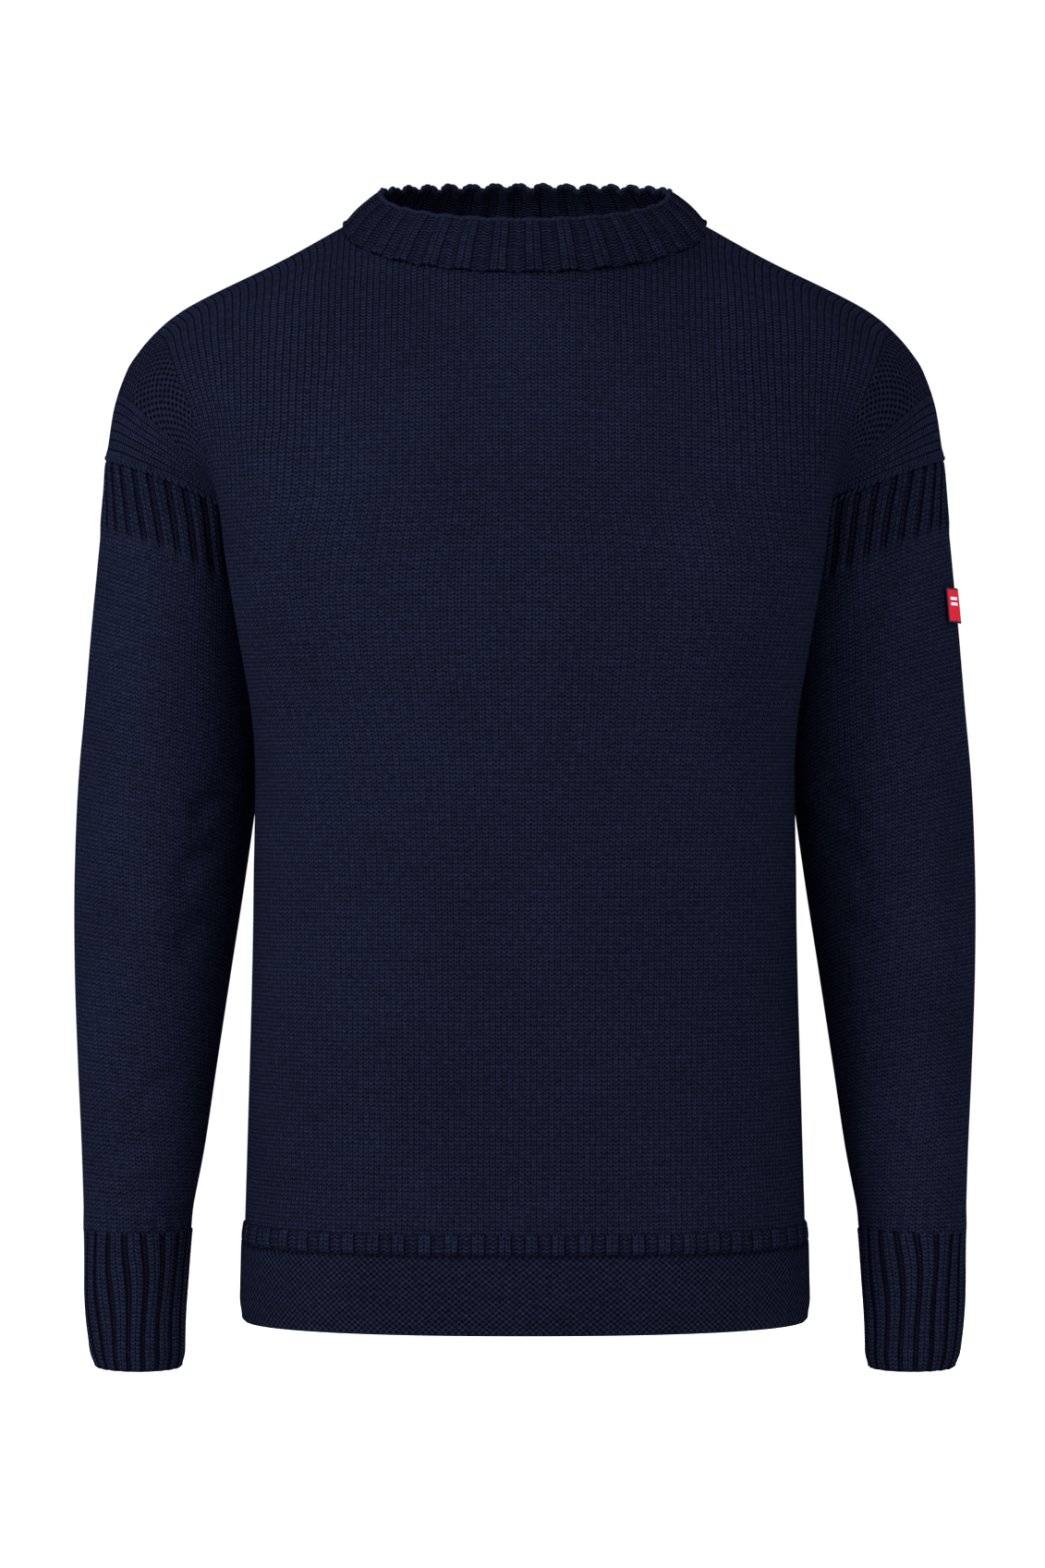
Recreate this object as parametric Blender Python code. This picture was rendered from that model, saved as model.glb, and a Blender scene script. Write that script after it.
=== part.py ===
"""A guernsey fisherman's sweater, hollow, in the shape that it has when it is worn with the arms down.

Metres, +Z up, the front of the garment towards -Y, the wearer's left towards +X.
The origin lies midway between the two points where the collar crosses the shoulder lines.
Every piece of knitted cloth is a wall of one thickness, lofted through sections of the garment.
"""

import math

import bpy
import numpy as np

# Driving dimensions
CLOTH = 0.0026  # thickness of the five-ply knit
SEAM_GAP = 0.0003  # between two pieces that are joined edge to edge
SLIT_GAP = 0.0016  # between the front and the back welt, at each side slit
HEM = -0.679  # lower edge of the welts
WELT_TOP = -0.618  # where the welts join the body, and where the side slits end
ARMPIT = -0.215
SHOULDER_TIP = -0.143  # where the shoulder line meets the sleeve
CUFF_TOP = -0.623
CUFF_END = -0.706
WELT_CORNER = 0.014  # radius of the rounded lower corners of the welts
NECK_SHARE = 0.33  # share of a panel's half width that ends at the collar
ARMHOLE_DIP = 1.8  # how late the armhole seam drops towards the armpit
PULL_LOW = 0.86  # share of a panel's half width where it starts to bend to the armhole, at the armpit
PULL_HIGH = 0.45  # and further up
EVEN_START = 0.60  # shares of the half width between which the yoke's even bend ends
EVEN_END = 0.95
EVEN_ROUNDS = 150
LABEL_WIDTH = 0.036
LABEL_HEIGHT = 0.021
LABEL_THICKNESS = 0.0008
LABEL_GAP = 0.0004
LABEL_TOP = -0.2255
LABEL_FRONT_ANGLE = 0.60  # radians from the sleeve's outer line to the label's front edge

# Faces on each wall
NECK_COLUMNS = 6  # of half a body panel, below the collar
SIDE_COLUMNS = 9  # of half a body panel, below the shoulder line
CORNER_COLUMNS = 3  # of a welt, in each rounded corner
BODY_ROWS = 9  # from the welt to the armpit
YOKE_ROWS = 10  # from the armpit to the shoulder line, and along half of an armhole
SLEEVE_ROWS = 13
CUFF_ROWS = 3
WELT_ROWS = 3
COLLAR_ROWS = 3
LABEL_FACES = 8

# The trunk's level sections, from the hem up. widest, front, back and seam are places along Y,
# and hollow is how far the cloth under the arm lies inside the plain section.
TORSO_COLUMNS = ("height", "half_width", "widest", "front", "back", "seam", "hollow")
TORSO_SECTIONS = (
    (-0.679, 0.1748, -0.016, -0.131, 0.103, -0.010, 0.000),
    (-0.618, 0.1732, -0.016, -0.132, 0.099, -0.010, 0.000),
    (-0.550, 0.1711, -0.017, -0.133, 0.094, -0.010, 0.000),
    (-0.457, 0.1685, -0.020, -0.134, 0.088, -0.008, 0.000),
    (-0.360, 0.1668, -0.024, -0.137, 0.088, 0.000, 0.000),
    (-0.312, 0.1685, -0.034, -0.140, 0.091, 0.008, 0.004),
    (-0.257, 0.1765, -0.045, -0.143, 0.096, 0.016, 0.010),
    (-0.215, 0.1830, -0.050, -0.145, 0.100, 0.022, 0.0170),
    (-0.180, 0.1890, -0.050, -0.144, 0.103, 0.022, 0.0170),
)
FRONT_SQUARENESS = 2.3
BACK_SQUARENESS = 2.7
HOLLOW_REACH = 0.032
HOLLOW_AHEAD = 0.014  # of the side seam

# The arm's level sections, from the shoulder down to the end of the cuff
ARM_COLUMNS = ("height", "across", "along", "half_width", "half_depth")
ARM_SECTIONS = (
    (-0.143, 0.2055, 0.023, 0.0545, 0.0560),
    (-0.170, 0.2085, 0.023, 0.0535, 0.0575),
    (-0.215, 0.2153, 0.023, 0.0508, 0.0585),
    (-0.250, 0.2170, 0.023, 0.0525, 0.0590),
    (-0.300, 0.2184, 0.023, 0.0553, 0.0595),
    (-0.342, 0.2220, 0.023, 0.0555, 0.0590),
    (-0.400, 0.2270, 0.022, 0.0529, 0.0570),
    (-0.460, 0.2315, 0.017, 0.0484, 0.0530),
    (-0.526, 0.2350, 0.006, 0.0425, 0.0480),
    (-0.572, 0.2373, -0.003, 0.0383, 0.0435),
    (-0.623, 0.2405, -0.012, 0.0328, 0.0370),
    (-0.664, 0.2405, -0.019, 0.0309, 0.0335),
    (-0.712, 0.2385, -0.027, 0.0275, 0.0300),
)

# The shoulder line, from the collar out to the sleeve
SHOULDER_COLUMNS = ("across", "along", "height")
SHOULDER_LINE = (
    (0.1130, 0.000, 0.0000),
    (0.1495, 0.004, -0.0207),
    (0.1967, 0.012, -0.0431),
    (0.2165, 0.015, -0.0546),
    (0.2300, 0.018, -0.0661),
    (0.2401, 0.020, -0.0776),
    (0.2473, 0.021, -0.0891),
    (0.2553, 0.023, -0.1121),
    (0.2600, 0.023, -0.1430),
)

# The collar's lower and upper edges. front and back are places along Y.
RING_COLUMNS = ("half_width", "front", "back", "front_height", "side_height", "back_height")
NECK_SLOPE = 0.9
COLLAR_RINGS = (
    (0.1130, -0.104, 0.073, -0.038, 0.000, 0.004),
    (0.0915, -0.090, 0.063, -0.005, 0.021, 0.031),
)

NAVY = (0.0095, 0.0125, 0.0290, 1.0)
RED = (0.55, 0.012, 0.020, 1.0)


def columns(names, rows):
    """The table's columns as arrays, by name."""
    return dict(zip(names, np.array(rows, float).T))


TORSO = columns(TORSO_COLUMNS, TORSO_SECTIONS)
ARM = columns(ARM_COLUMNS, ARM_SECTIONS)
SHOULDER = columns(SHOULDER_COLUMNS, SHOULDER_LINE)


def smooth_step(x):
    x = np.clip(x, 0, 1)
    return x * x * (3 - 2 * x)


def through(known, values, at):
    """A smooth curve through the known values, read at other places."""
    order = np.argsort(known)
    known, values = known[order], values[order]
    slopes = np.gradient(values, known)
    at = np.clip(at, known[0], known[-1])
    i = np.clip(np.searchsorted(known, at) - 1, 0, len(known) - 2)
    span = known[i + 1] - known[i]
    t = (at - known[i]) / span
    return (
        (1 + 2 * t) * (1 - t) ** 2 * values[i]
        + t * (1 - t) ** 2 * span * slopes[i]
        + t * t * (3 - 2 * t) * values[i + 1]
        + t * t * (t - 1) * span * slopes[i + 1]
    )


def read(table, name, at):
    return through(table["height"], table[name], at)


def point(x, y, z):
    return np.stack(np.broadcast_arrays(x, y, z), axis=-1).astype(float)


def along_line(line, shares):
    """Points at shares of the length of a line of points."""
    steps = np.linalg.norm(np.diff(line, axis=0), axis=1)
    length = np.concatenate([[0], np.cumsum(steps)])
    return np.stack([np.interp(shares * length[-1], length, line[:, k]) for k in range(3)], axis=-1)


def torso_half(height, back, shares):
    """Half of one panel's level section, from its centre line to the side seam."""
    row = {name: float(read(TORSO, name, height)) for name in TORSO_COLUMNS[1:]}
    angle = np.linspace(0, math.pi, 400)
    behind = angle > math.pi / 2
    power = 2 / np.where(behind, BACK_SQUARENESS, FRONT_SQUARENESS)
    depth = np.where(behind, row["back"] - row["widest"], row["widest"] - row["front"])
    x = row["half_width"] * np.sin(angle) ** power
    y = row["widest"] - np.sign(np.cos(angle)) * depth * np.abs(np.cos(angle)) ** power
    x = x - row["hollow"] * np.exp(-(((y - row["seam"] + HOLLOW_AHEAD) / HOLLOW_REACH) ** 2))
    x[[0, -1]] = 0
    side = np.interp(row["seam"], y, np.arange(len(y)))
    section = point(x, y, height)
    seam = section[int(side)] + (side % 1) * (section[int(side) + 1] - section[int(side)])
    own = section[::-1][: len(section) - int(side) - 1] if back else section[: int(side) + 1]
    return along_line(np.vstack([own, seam]), shares)


def arm_point(angle, height):
    """A point of the sleeve. The angle is 0 at the outer side and grows towards the front."""
    across = read(ARM, "across", height) + read(ARM, "half_width", height) * np.cos(angle)
    along = read(ARM, "along", height) - read(ARM, "half_depth", height) * np.sin(angle)
    return point(across, along, height)


def armhole_height(angle):
    return SHOULDER_TIP + (ARMPIT - SHOULDER_TIP) * (np.abs(angle) / math.pi) ** ARMHOLE_DIP


def armhole(angle):
    return arm_point(angle, armhole_height(angle))


def collar_ring(ring, angle):
    """A closed ring round the neck. The angle is 0 at the front and 180 degrees at the back."""
    row = dict(zip(RING_COLUMNS, ring))
    front = np.cos(angle) > 0
    reach = np.where(front, row["front"], row["back"])
    drop = np.where(front, row["front_height"], row["back_height"]) - row["side_height"]
    return point(
        row["half_width"] * np.sin(angle),
        reach * np.abs(np.cos(angle)),
        row["side_height"] + drop * np.abs(np.cos(angle)) ** NECK_SLOPE,
    )


def top_edge(back, shares):
    """The upper edge of half a panel: a quarter of the collar, then the shoulder line."""
    quarter = np.linspace(math.pi, math.pi / 2, 60) if back else np.linspace(0, math.pi / 2, 60)
    neck = along_line(collar_ring(COLLAR_RINGS[0], quarter), np.clip(shares / NECK_SHARE, 0, 1))
    count = np.arange(len(SHOULDER_LINE), dtype=float)
    fine = np.linspace(0, count[-1], 200)
    line = np.stack([through(count, SHOULDER[name], fine) for name in SHOULDER_COLUMNS], axis=-1)
    shoulder = along_line(line, np.clip((shares - NECK_SHARE) / (1 - NECK_SHARE), 0, 1))
    return np.where((shares <= NECK_SHARE)[:, None], neck, shoulder)


def yoke_half(back, shares, rises):
    """Half of a panel above the armpit: rows up from the armpit, columns out from the centre line."""
    turn = -1.0 if back else 1.0
    step = 0.004
    start = torso_half(ARMPIT, back, shares)
    start_way = torso_half(ARMPIT + step, back, shares) - torso_half(ARMPIT - step, back, shares)
    end = top_edge(back, shares)
    beside = np.clip(shares / NECK_SHARE, 0, 1)
    end_way = point(0.0, turn * (0.45 + 0.55 * beside), 0.9 * (1 - beside))
    reach = np.linalg.norm(end - start, axis=-1, keepdims=True)
    start_way, end_way = start_way / (2 * step) * reach, unit(end_way) * reach
    t = rises[:, None, None]
    cloth = (
        (1 + 2 * t) * (1 - t) ** 2 * start
        + t * (1 - t) ** 2 * start_way
        + t * t * (3 - 2 * t) * end
        + t * t * (t - 1) * end_way
    )
    edge = armhole(turn * math.pi * (1 - rises))
    first = (PULL_LOW + (PULL_HIGH - PULL_LOW) * smooth_step(4 * rises))[:, None]
    pull = smooth_step((shares - first) / (1 - first))
    return cloth + (edge - cloth[:, -1])[:, None] * pull[..., None]


def body_half(back, shares, heights, rises):
    """Half of a body panel, from the welt to the shoulder line."""
    lower = np.stack([torso_half(height, back, shares) for height in heights])
    return np.concatenate([lower, yoke_half(back, shares, rises)])


def whole(half, back):
    """A half panel and its mirror image, joined at the centre line, anticlockwise seen from above."""
    panel = np.concatenate([half[:, :0:-1] * [-1, 1, 1], half], axis=1)
    return panel[:, ::-1] if back else panel


def evened(panel, shares):
    """The panel with an even bend above the armpit, its edges and its turn towards the armhole kept."""
    across = np.concatenate([shares[:0:-1], shares])
    up = np.clip(np.arange(len(panel)) - BODY_ROWS, 0, 3) / 3
    ease = 0.4 * up[:, None] * smooth_step((EVEN_END - across) / (EVEN_END - EVEN_START))
    for _ in range(EVEN_ROUNDS):
        bend = panel
        for _ in range(2):
            sides = bend[:-2, 1:-1] + bend[2:, 1:-1] + bend[1:-1, :-2] + bend[1:-1, 2:]
            bend = np.pad(sides / 4 - bend[1:-1, 1:-1], ((1, 1), (1, 1), (0, 0)))
        panel = panel - ease[..., None] * bend
    return panel


def unit(ways):
    return ways / np.linalg.norm(ways, axis=-1, keepdims=True)


def outward(grid, ring):
    """Unit normals of a grid of points whose rows go up and whose columns go anticlockwise."""
    if ring:
        padded = np.concatenate([grid[:, -1:], grid, grid[:, :1]], axis=1)
        across = padded[:, 2:] - padded[:, :-2]
    else:
        across = np.gradient(grid, axis=1)
    return unit(np.cross(across, np.gradient(grid, axis=0)))


def share_seams(pieces):
    """Gives pieces that meet at a seam the same direction through the cloth there, unless they fold."""
    places = np.concatenate([piece["grid"].reshape(-1, 3) for piece in pieces])
    normals = np.concatenate([piece["normals"].reshape(-1, 3) for piece in pieces])
    for piece in pieces:
        own = piece["normals"].reshape(-1, 3)
        shared = []
        for place, normal in zip(piece["grid"].reshape(-1, 3), own):
            met = normals[np.linalg.norm(places - place, axis=1) < 1e-5]
            agreement = np.clip(0.5 + met @ normal, 0, 1)
            shared.append(unit(agreement @ met))
        piece["normals"] = np.array(shared).reshape(piece["grid"].shape)


def wall(name, outer, inner, material, ring=False):
    """One closed wall between two grids of points. A ring stays open above and below."""
    rows, count = outer.shape[:2]
    behind = rows * count
    place = np.arange(behind).reshape(rows, count)
    if ring:
        place = np.concatenate([place, place[:, :1]], axis=1)
    points = np.concatenate([outer.reshape(-1, 3), inner.reshape(-1, 3)])
    a, b, c, d = (
        corner.ravel() for corner in (place[:-1, :-1], place[:-1, 1:], place[1:, 1:], place[1:, :-1])
    )
    rising = np.linalg.norm(points[a] - points[c], axis=1) < np.linalg.norm(points[b] - points[d], axis=1)
    outside = np.concatenate(
        [np.stack([a, b, np.where(rising, c, d)], axis=-1), np.stack([c, d, np.where(rising, a, b)], axis=-1)]
    )
    borders = [place[0], place[-1][::-1]]
    if not ring:
        borders += [place[:, -1], place[:, 0][::-1]]
    rims = [np.stack([line[:-1] + behind, line[1:] + behind, line[1:]], axis=-1) for line in borders]
    rims += [np.stack([line[1:], line[:-1], line[:-1] + behind], axis=-1) for line in borders]
    faces = np.concatenate([outside, outside[:, ::-1] + behind, *rims])
    mesh = bpy.data.meshes.new(name)
    mesh.from_pydata(points.tolist(), [], faces.tolist())
    mesh.materials.append(material)
    mesh.update()
    garment.objects.link(bpy.data.objects.new(name, mesh))


def finish(name, colour, roughness):
    material = bpy.data.materials.new(name)
    material.use_nodes = True
    shader = material.node_tree.nodes["Principled BSDF"]
    shader.inputs["Base Color"].default_value = colour
    shader.inputs["Roughness"].default_value = roughness
    shader.inputs["Metallic"].default_value = 0.0
    return material


for leftover in list(bpy.data.objects):
    bpy.data.objects.remove(leftover)
garment = bpy.data.collections.new("guernsey_sweater")
bpy.context.scene.collection.children.link(garment)
wool = finish("navy_wool", NAVY, 0.9)
woven = finish("woven_label", RED, 0.7)
pieces = []


def add(name, grid, ring=False):
    pieces.append({"name": name, "grid": grid, "ring": ring, "shift": np.zeros_like(grid)})
    return pieces[-1]["shift"]


# Front and back, with their welts
half_gap = SEAM_GAP / 2
neck_shares = np.linspace(0, NECK_SHARE, NECK_COLUMNS + 1)
shares = np.concatenate([neck_shares, np.linspace(NECK_SHARE, 1, SIDE_COLUMNS + 1)[1:]])
heights = np.linspace(WELT_TOP, ARMPIT, BODY_ROWS + 1)[:-1]
rises = np.linspace(0, 1, YOKE_ROWS + 1)
for side, back in (("front", False), ("back", True)):
    apart = 1 if back else -1
    half = body_half(back, shares, heights, rises)
    shift = add(f"body_{side}", evened(whole(half, back), shares))
    shift[0] += [0, 0, half_gap]
    shift[:, [0, -1]] += [0, apart * half_gap, 0]
    shift[-1] += [0, apart * half_gap, 0]

    top = torso_half(WELT_TOP, back, shares)
    width = np.linalg.norm(np.diff(top, axis=0), axis=1).sum()
    bend = WELT_CORNER * (1 - np.cos(np.linspace(0, math.pi / 2, CORNER_COLUMNS + 1)))
    corner_shares = 1 - bend[::-1] / width
    welt_shares = np.concatenate([shares[shares < corner_shares[0] - 0.02], corner_shares])
    from_side = (1 - welt_shares) * width
    lift = WELT_CORNER - np.sqrt(WELT_CORNER**2 - np.clip(WELT_CORNER - from_side, 0, None) ** 2)
    rows = []
    for t in np.linspace(1, 0, WELT_ROWS + 1):
        lower = HEM + lift * 0.97
        row = [
            torso_half(WELT_TOP + (low - WELT_TOP) * t, back, np.array([share]))[0]
            for low, share in zip(lower, welt_shares)
        ]
        rows.append(row)
    shift = add(f"welt_{side}", whole(np.array(rows), back))
    shift[-1] -= [0, 0, half_gap]
    shift[:, [0, -1]] += [0, apart * SLIT_GAP / 2, 0]

# Collar
quarter = np.linspace(0, math.pi / 2, 60)


def collar_edge(ring):
    fore, aft = collar_ring(ring, quarter), collar_ring(ring, math.pi - quarter)
    fore, aft = (along_line(line, neck_shares / NECK_SHARE) for line in (fore, aft))
    right = np.concatenate([fore, aft[-2::-1]])
    return np.concatenate([right, right[-2:0:-1] * [-1, 1, 1]])


lower, upper = (collar_edge(ring) for ring in COLLAR_RINGS)
rows = np.linspace(0, 1, COLLAR_ROWS + 1)[:, None, None]
shift = add("collar", lower + (upper - lower) * rows, ring=True)
shift[0] += 3 * SEAM_GAP * unit(upper - lower)  # more, as the collar turns sharply here

# Sleeves and cuffs
half_ring = math.pi * (1 - rises)
angles = np.concatenate([half_ring, -half_ring[-2:0:-1]])
gap_way = unit(point(1 - np.cos(angles), 0, -1 - np.cos(angles)))
for side, name in ((1, "left"), (-1, "right")):
    turn = np.s_[:, ::side]
    top = armhole_height(angles)
    t = np.linspace(0, 1, SLEEVE_ROWS + 1)[:, None]
    grid = arm_point(angles, CUFF_TOP + (top - CUFF_TOP) * t) * [side, 1, 1]
    shift = add(f"sleeve_{name}", grid[turn], ring=True)
    shift[0] += [0, 0, half_gap]
    shift[-1] += (SEAM_GAP * gap_way * [side, 1, 1])[::side]
    heights = np.linspace(CUFF_END, CUFF_TOP, CUFF_ROWS + 1)[:, None]
    grid = arm_point(angles, heights) * [side, 1, 1]
    shift = add(f"cuff_{name}", grid[turn], ring=True)
    shift[-1] -= [0, 0, half_gap]

for piece in pieces:
    piece["normals"] = outward(piece["grid"], piece["ring"])
share_seams(pieces)
for piece in pieces:
    outer = piece["grid"] + piece["shift"]
    wall(piece["name"], outer, outer - CLOTH * piece["normals"], wool, piece["ring"])

# Label, on the outer side of the left sleeve
label_heights = LABEL_TOP - LABEL_HEIGHT * np.linspace(1, 0, LABEL_FACES // 2 + 1)[:, None]
reach = LABEL_WIDTH / float(read(ARM, "half_depth", LABEL_TOP))
label_angles = LABEL_FRONT_ANGLE - reach * np.linspace(0, 1, LABEL_FACES + 1)
under = arm_point(label_angles, label_heights)
normals = outward(under, False)
wall("sleeve_label", under + (LABEL_GAP + LABEL_THICKNESS) * normals, under + LABEL_GAP * normals, woven)
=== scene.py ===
import math

import bpy
import numpy as np
from bpy.props import FloatProperty, FloatVectorProperty, IntProperty, PointerProperty
from bpy.types import Operator, Panel, PropertyGroup
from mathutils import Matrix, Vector


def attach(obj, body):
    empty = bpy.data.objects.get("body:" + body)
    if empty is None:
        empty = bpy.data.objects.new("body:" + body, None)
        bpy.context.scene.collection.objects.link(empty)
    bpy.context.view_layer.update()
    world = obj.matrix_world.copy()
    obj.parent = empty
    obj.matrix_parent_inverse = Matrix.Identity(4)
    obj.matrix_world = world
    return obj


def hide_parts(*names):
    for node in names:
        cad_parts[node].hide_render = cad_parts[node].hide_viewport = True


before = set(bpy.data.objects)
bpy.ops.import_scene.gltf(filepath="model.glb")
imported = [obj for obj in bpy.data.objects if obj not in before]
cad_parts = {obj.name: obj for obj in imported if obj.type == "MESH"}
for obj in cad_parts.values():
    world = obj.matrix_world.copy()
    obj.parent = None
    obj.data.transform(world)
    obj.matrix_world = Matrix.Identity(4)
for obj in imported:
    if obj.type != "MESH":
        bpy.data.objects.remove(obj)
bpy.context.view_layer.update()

bl_info = {
    "name": "Guernsey Sweater",
    "version": (1, 0, 0),
    "blender": (4, 5, 0),
    "location": "View3D > Sidebar > Sweater",
    "description": "Knits a guernsey fisherman's sweater in its worn shape",
    "category": "Object",
}

# The cut, in metres. The front of the garment is towards -Y and the wearer's left towards +X.
HEM = -0.677
WELT_TOP = -0.618
ARMPIT = -0.215
SHOULDER_TIP = -0.143
CUFF_TOP = -0.623
CUFF_END = -0.706
WELT_CORNER = 0.014
NECK_SHARE = 0.33  # of a panel's half width
ARMHOLE_DIP = 1.8
PULL_LOW, PULL_HIGH = 0.86, 0.45
EVEN_START, EVEN_END, EVEN_ROUNDS = 0.60, 0.95, 150
FRONT_SQUARENESS, BACK_SQUARENESS = 2.3, 2.7
HOLLOW_REACH, HOLLOW_AHEAD = 0.032, 0.014
BODY_ROWS, YOKE_ROWS, NECK_COLUMNS, SIDE_COLUMNS = 9, 10, 6, 9

TORSO_COLUMNS = ("height", "half_width", "widest", "front", "back", "seam", "hollow")
TORSO_SECTIONS = (
    (-0.679, 0.1748, -0.016, -0.131, 0.103, -0.010, 0.000),
    (-0.618, 0.1732, -0.016, -0.132, 0.099, -0.010, 0.000),
    (-0.550, 0.1711, -0.017, -0.133, 0.094, -0.010, 0.000),
    (-0.457, 0.1685, -0.020, -0.134, 0.088, -0.008, 0.000),
    (-0.360, 0.1668, -0.024, -0.137, 0.088, 0.000, 0.000),
    (-0.312, 0.1685, -0.034, -0.140, 0.091, 0.008, 0.004),
    (-0.257, 0.1765, -0.045, -0.143, 0.096, 0.016, 0.010),
    (-0.215, 0.1830, -0.050, -0.145, 0.100, 0.022, 0.0170),
    (-0.180, 0.1890, -0.050, -0.144, 0.103, 0.022, 0.0170),
)
ARM_COLUMNS = ("height", "across", "along", "half_width", "half_depth")
ARM_SECTIONS = (
    (-0.143, 0.2065, 0.023, 0.0555, 0.0560),
    (-0.170, 0.2095, 0.023, 0.0545, 0.0575),
    (-0.215, 0.2163, 0.023, 0.0518, 0.0585),
    (-0.250, 0.2180, 0.023, 0.0535, 0.0590),
    (-0.300, 0.2194, 0.023, 0.0563, 0.0595),
    (-0.342, 0.2230, 0.023, 0.0565, 0.0590),
    (-0.400, 0.2280, 0.022, 0.0539, 0.0570),
    (-0.460, 0.2323, 0.017, 0.0492, 0.0530),
    (-0.526, 0.2355, 0.006, 0.0429, 0.0480),
    (-0.572, 0.2373, -0.003, 0.0383, 0.0435),
    (-0.623, 0.2405, -0.012, 0.0328, 0.0370),
    (-0.664, 0.2405, -0.019, 0.0309, 0.0335),
    (-0.712, 0.2385, -0.027, 0.0275, 0.0300),
)
SHOULDER_COLUMNS = ("across", "along", "height")
SHOULDER_LINE = (
    (0.1130, 0.000, 0.0000),
    (0.1512, 0.004, -0.0207),
    (0.1990, 0.012, -0.0431),
    (0.2190, 0.015, -0.0546),
    (0.2325, 0.018, -0.0661),
    (0.2424, 0.020, -0.0776),
    (0.2496, 0.021, -0.0891),
    (0.2575, 0.023, -0.1121),
    (0.2620, 0.023, -0.1430),
)
RING_COLUMNS = ("half_width", "front", "back", "front_height", "side_height", "back_height")
NECK_SLOPE = 0.9
COLLAR_RINGS = (
    (0.1130, -0.104, 0.073, -0.038, 0.000, 0.004),
    (0.0900, -0.090, 0.063, -0.005, 0.021, 0.031),
)

# The knit. A panel's half width is counted in wales from its centre line, and rows in courses.
HALF_WALES = 68
WALE, COURSE = 0.00385, 0.00256  # width and height of one stitch
BODY_COURSES = 157  # below the armpit
SLEEVE_WALES = 88
SLEEVE_COURSES = 178
EDGE_WALES = 7.0  # plain wales beside the armhole
MOSS_WALES = 7.8  # then moss stitch
COLLAR_RIBS = 32
SLEEVE_RIBS = 28
CUFF_RIBS = 19
WELT_RIBS = 30  # of one welt
COLLAR_SHARE, WELT_SHARE, SLEEVE_SHARE, CUFF_SHARE = 0.50, 0.52, 0.70, 0.76  # of a rib that its plain pair takes

# Soft troughs and swells, across a piece seen from the front. A negative depth is a swell.
FOLD_COLUMNS = ("x0", "z0", "x1", "z1", "width", "depth")
BODY_FOLDS = (
    (-0.157, -0.350, -0.160, -0.560, 0.010, 0.0030),
    (-0.140, -0.380, -0.146, -0.520, 0.014, -0.0015),
    (0.152, -0.400, 0.164, -0.500, 0.009, 0.0030),
    (0.140, -0.440, 0.153, -0.520, 0.012, -0.0018),
    (-0.120, -0.560, -0.166, -0.600, 0.011, 0.0020),
    (0.118, -0.555, 0.160, -0.596, 0.012, 0.0018),
    (-0.200, -0.110, -0.176, -0.190, 0.009, 0.0030),
    (0.201, -0.112, 0.178, -0.195, 0.009, 0.0030),
    (-0.178, -0.120, -0.140, -0.230, 0.014, -0.0016),
    (0.180, -0.122, 0.146, -0.225, 0.014, -0.0016),
    (-0.060, -0.045, -0.130, -0.095, 0.016, 0.0012),
    (0.064, -0.045, 0.128, -0.098, 0.016, 0.0012),
    (-0.030, -0.590, -0.090, -0.560, 0.015, 0.0010),
    (0.030, -0.300, 0.100, -0.330, 0.022, 0.0010),
)
SLEEVE_FOLDS = (
    (0.178, -0.350, 0.205, -0.372, 0.007, 0.0032),
    (0.182, -0.380, 0.215, -0.415, 0.008, 0.0036),
    (0.188, -0.425, 0.214, -0.455, 0.008, 0.0026),
    (0.196, -0.395, 0.232, -0.440, 0.012, -0.0018),
    (0.205, -0.520, 0.246, -0.560, 0.008, 0.0026),
    (0.212, -0.560, 0.262, -0.585, 0.007, 0.0028),
    (0.214, -0.590, 0.256, -0.612, 0.006, 0.0022),
    (0.222, -0.545, 0.268, -0.572, 0.010, -0.0018),
    (0.255, -0.300, 0.268, -0.420, 0.012, 0.0014),
    (0.232, -0.200, 0.244, -0.330, 0.013, 0.0014),
    (0.212, -0.160, 0.204, -0.260, 0.010, 0.0016),
)


def columns(names, rows):
    return dict(zip(names, np.array(rows, float).T))


TORSO = columns(TORSO_COLUMNS, TORSO_SECTIONS)
ARM = columns(ARM_COLUMNS, ARM_SECTIONS)
SHOULDER = columns(SHOULDER_COLUMNS, SHOULDER_LINE)


# ---- settings ----------------------------------------------------------------------------------


class WoolSettings(PropertyGroup):
    thickness: FloatProperty(name="Thickness", description="Of the cloth", default=0.0026, unit="LENGTH")
    stitch_depth: FloatProperty(
        name="Stitch depth", description="Relief of the plain knit", default=0.0011, unit="LENGTH"
    )
    yarn: FloatVectorProperty(
        name="Yarn", description="Colour of the wool", default=(0.0083, 0.0106, 0.0257), subtype="COLOR"
    )
    # This colour is painted shade: the dark colour that the stitches' low places and holes take, where shade falls
    # between the loops.
    painted_shade: FloatVectorProperty(
        name="Shade", description="Colour between the stitches", default=(0.0010, 0.0009, 0.0016), subtype="COLOR"
    )


class TrimSettings(PropertyGroup):
    rib_depth: FloatProperty(
        name="Rib depth", description="Half the relief of the collar's rib", default=0.0011, unit="LENGTH"
    )
    chain_pitch: FloatProperty(
        name="Chain pitch", description="Length of one cast-off stitch", default=0.0045, unit="LENGTH"
    )
    chain_width: FloatProperty(
        name="Chain width", description="Across one cast-off stitch", default=0.0031, unit="LENGTH"
    )


class LabelSettings(PropertyGroup):
    width: FloatProperty(name="Width", description="Round the sleeve", default=0.036, unit="LENGTH")
    height: FloatProperty(name="Height", description="Along the sleeve", default=0.021, unit="LENGTH")
    top: FloatProperty(name="Top", description="Height of its upper edge", default=-0.2255, unit="LENGTH")
    front: FloatProperty(
        name="Front", description="Turn of its front edge from the sleeve's outer line", default=0.60, unit="ROTATION"
    )
    ground: FloatVectorProperty(
        name="Ground", description="Main colour", default=(0.46, 0.015, 0.031), subtype="COLOR"
    )


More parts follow.
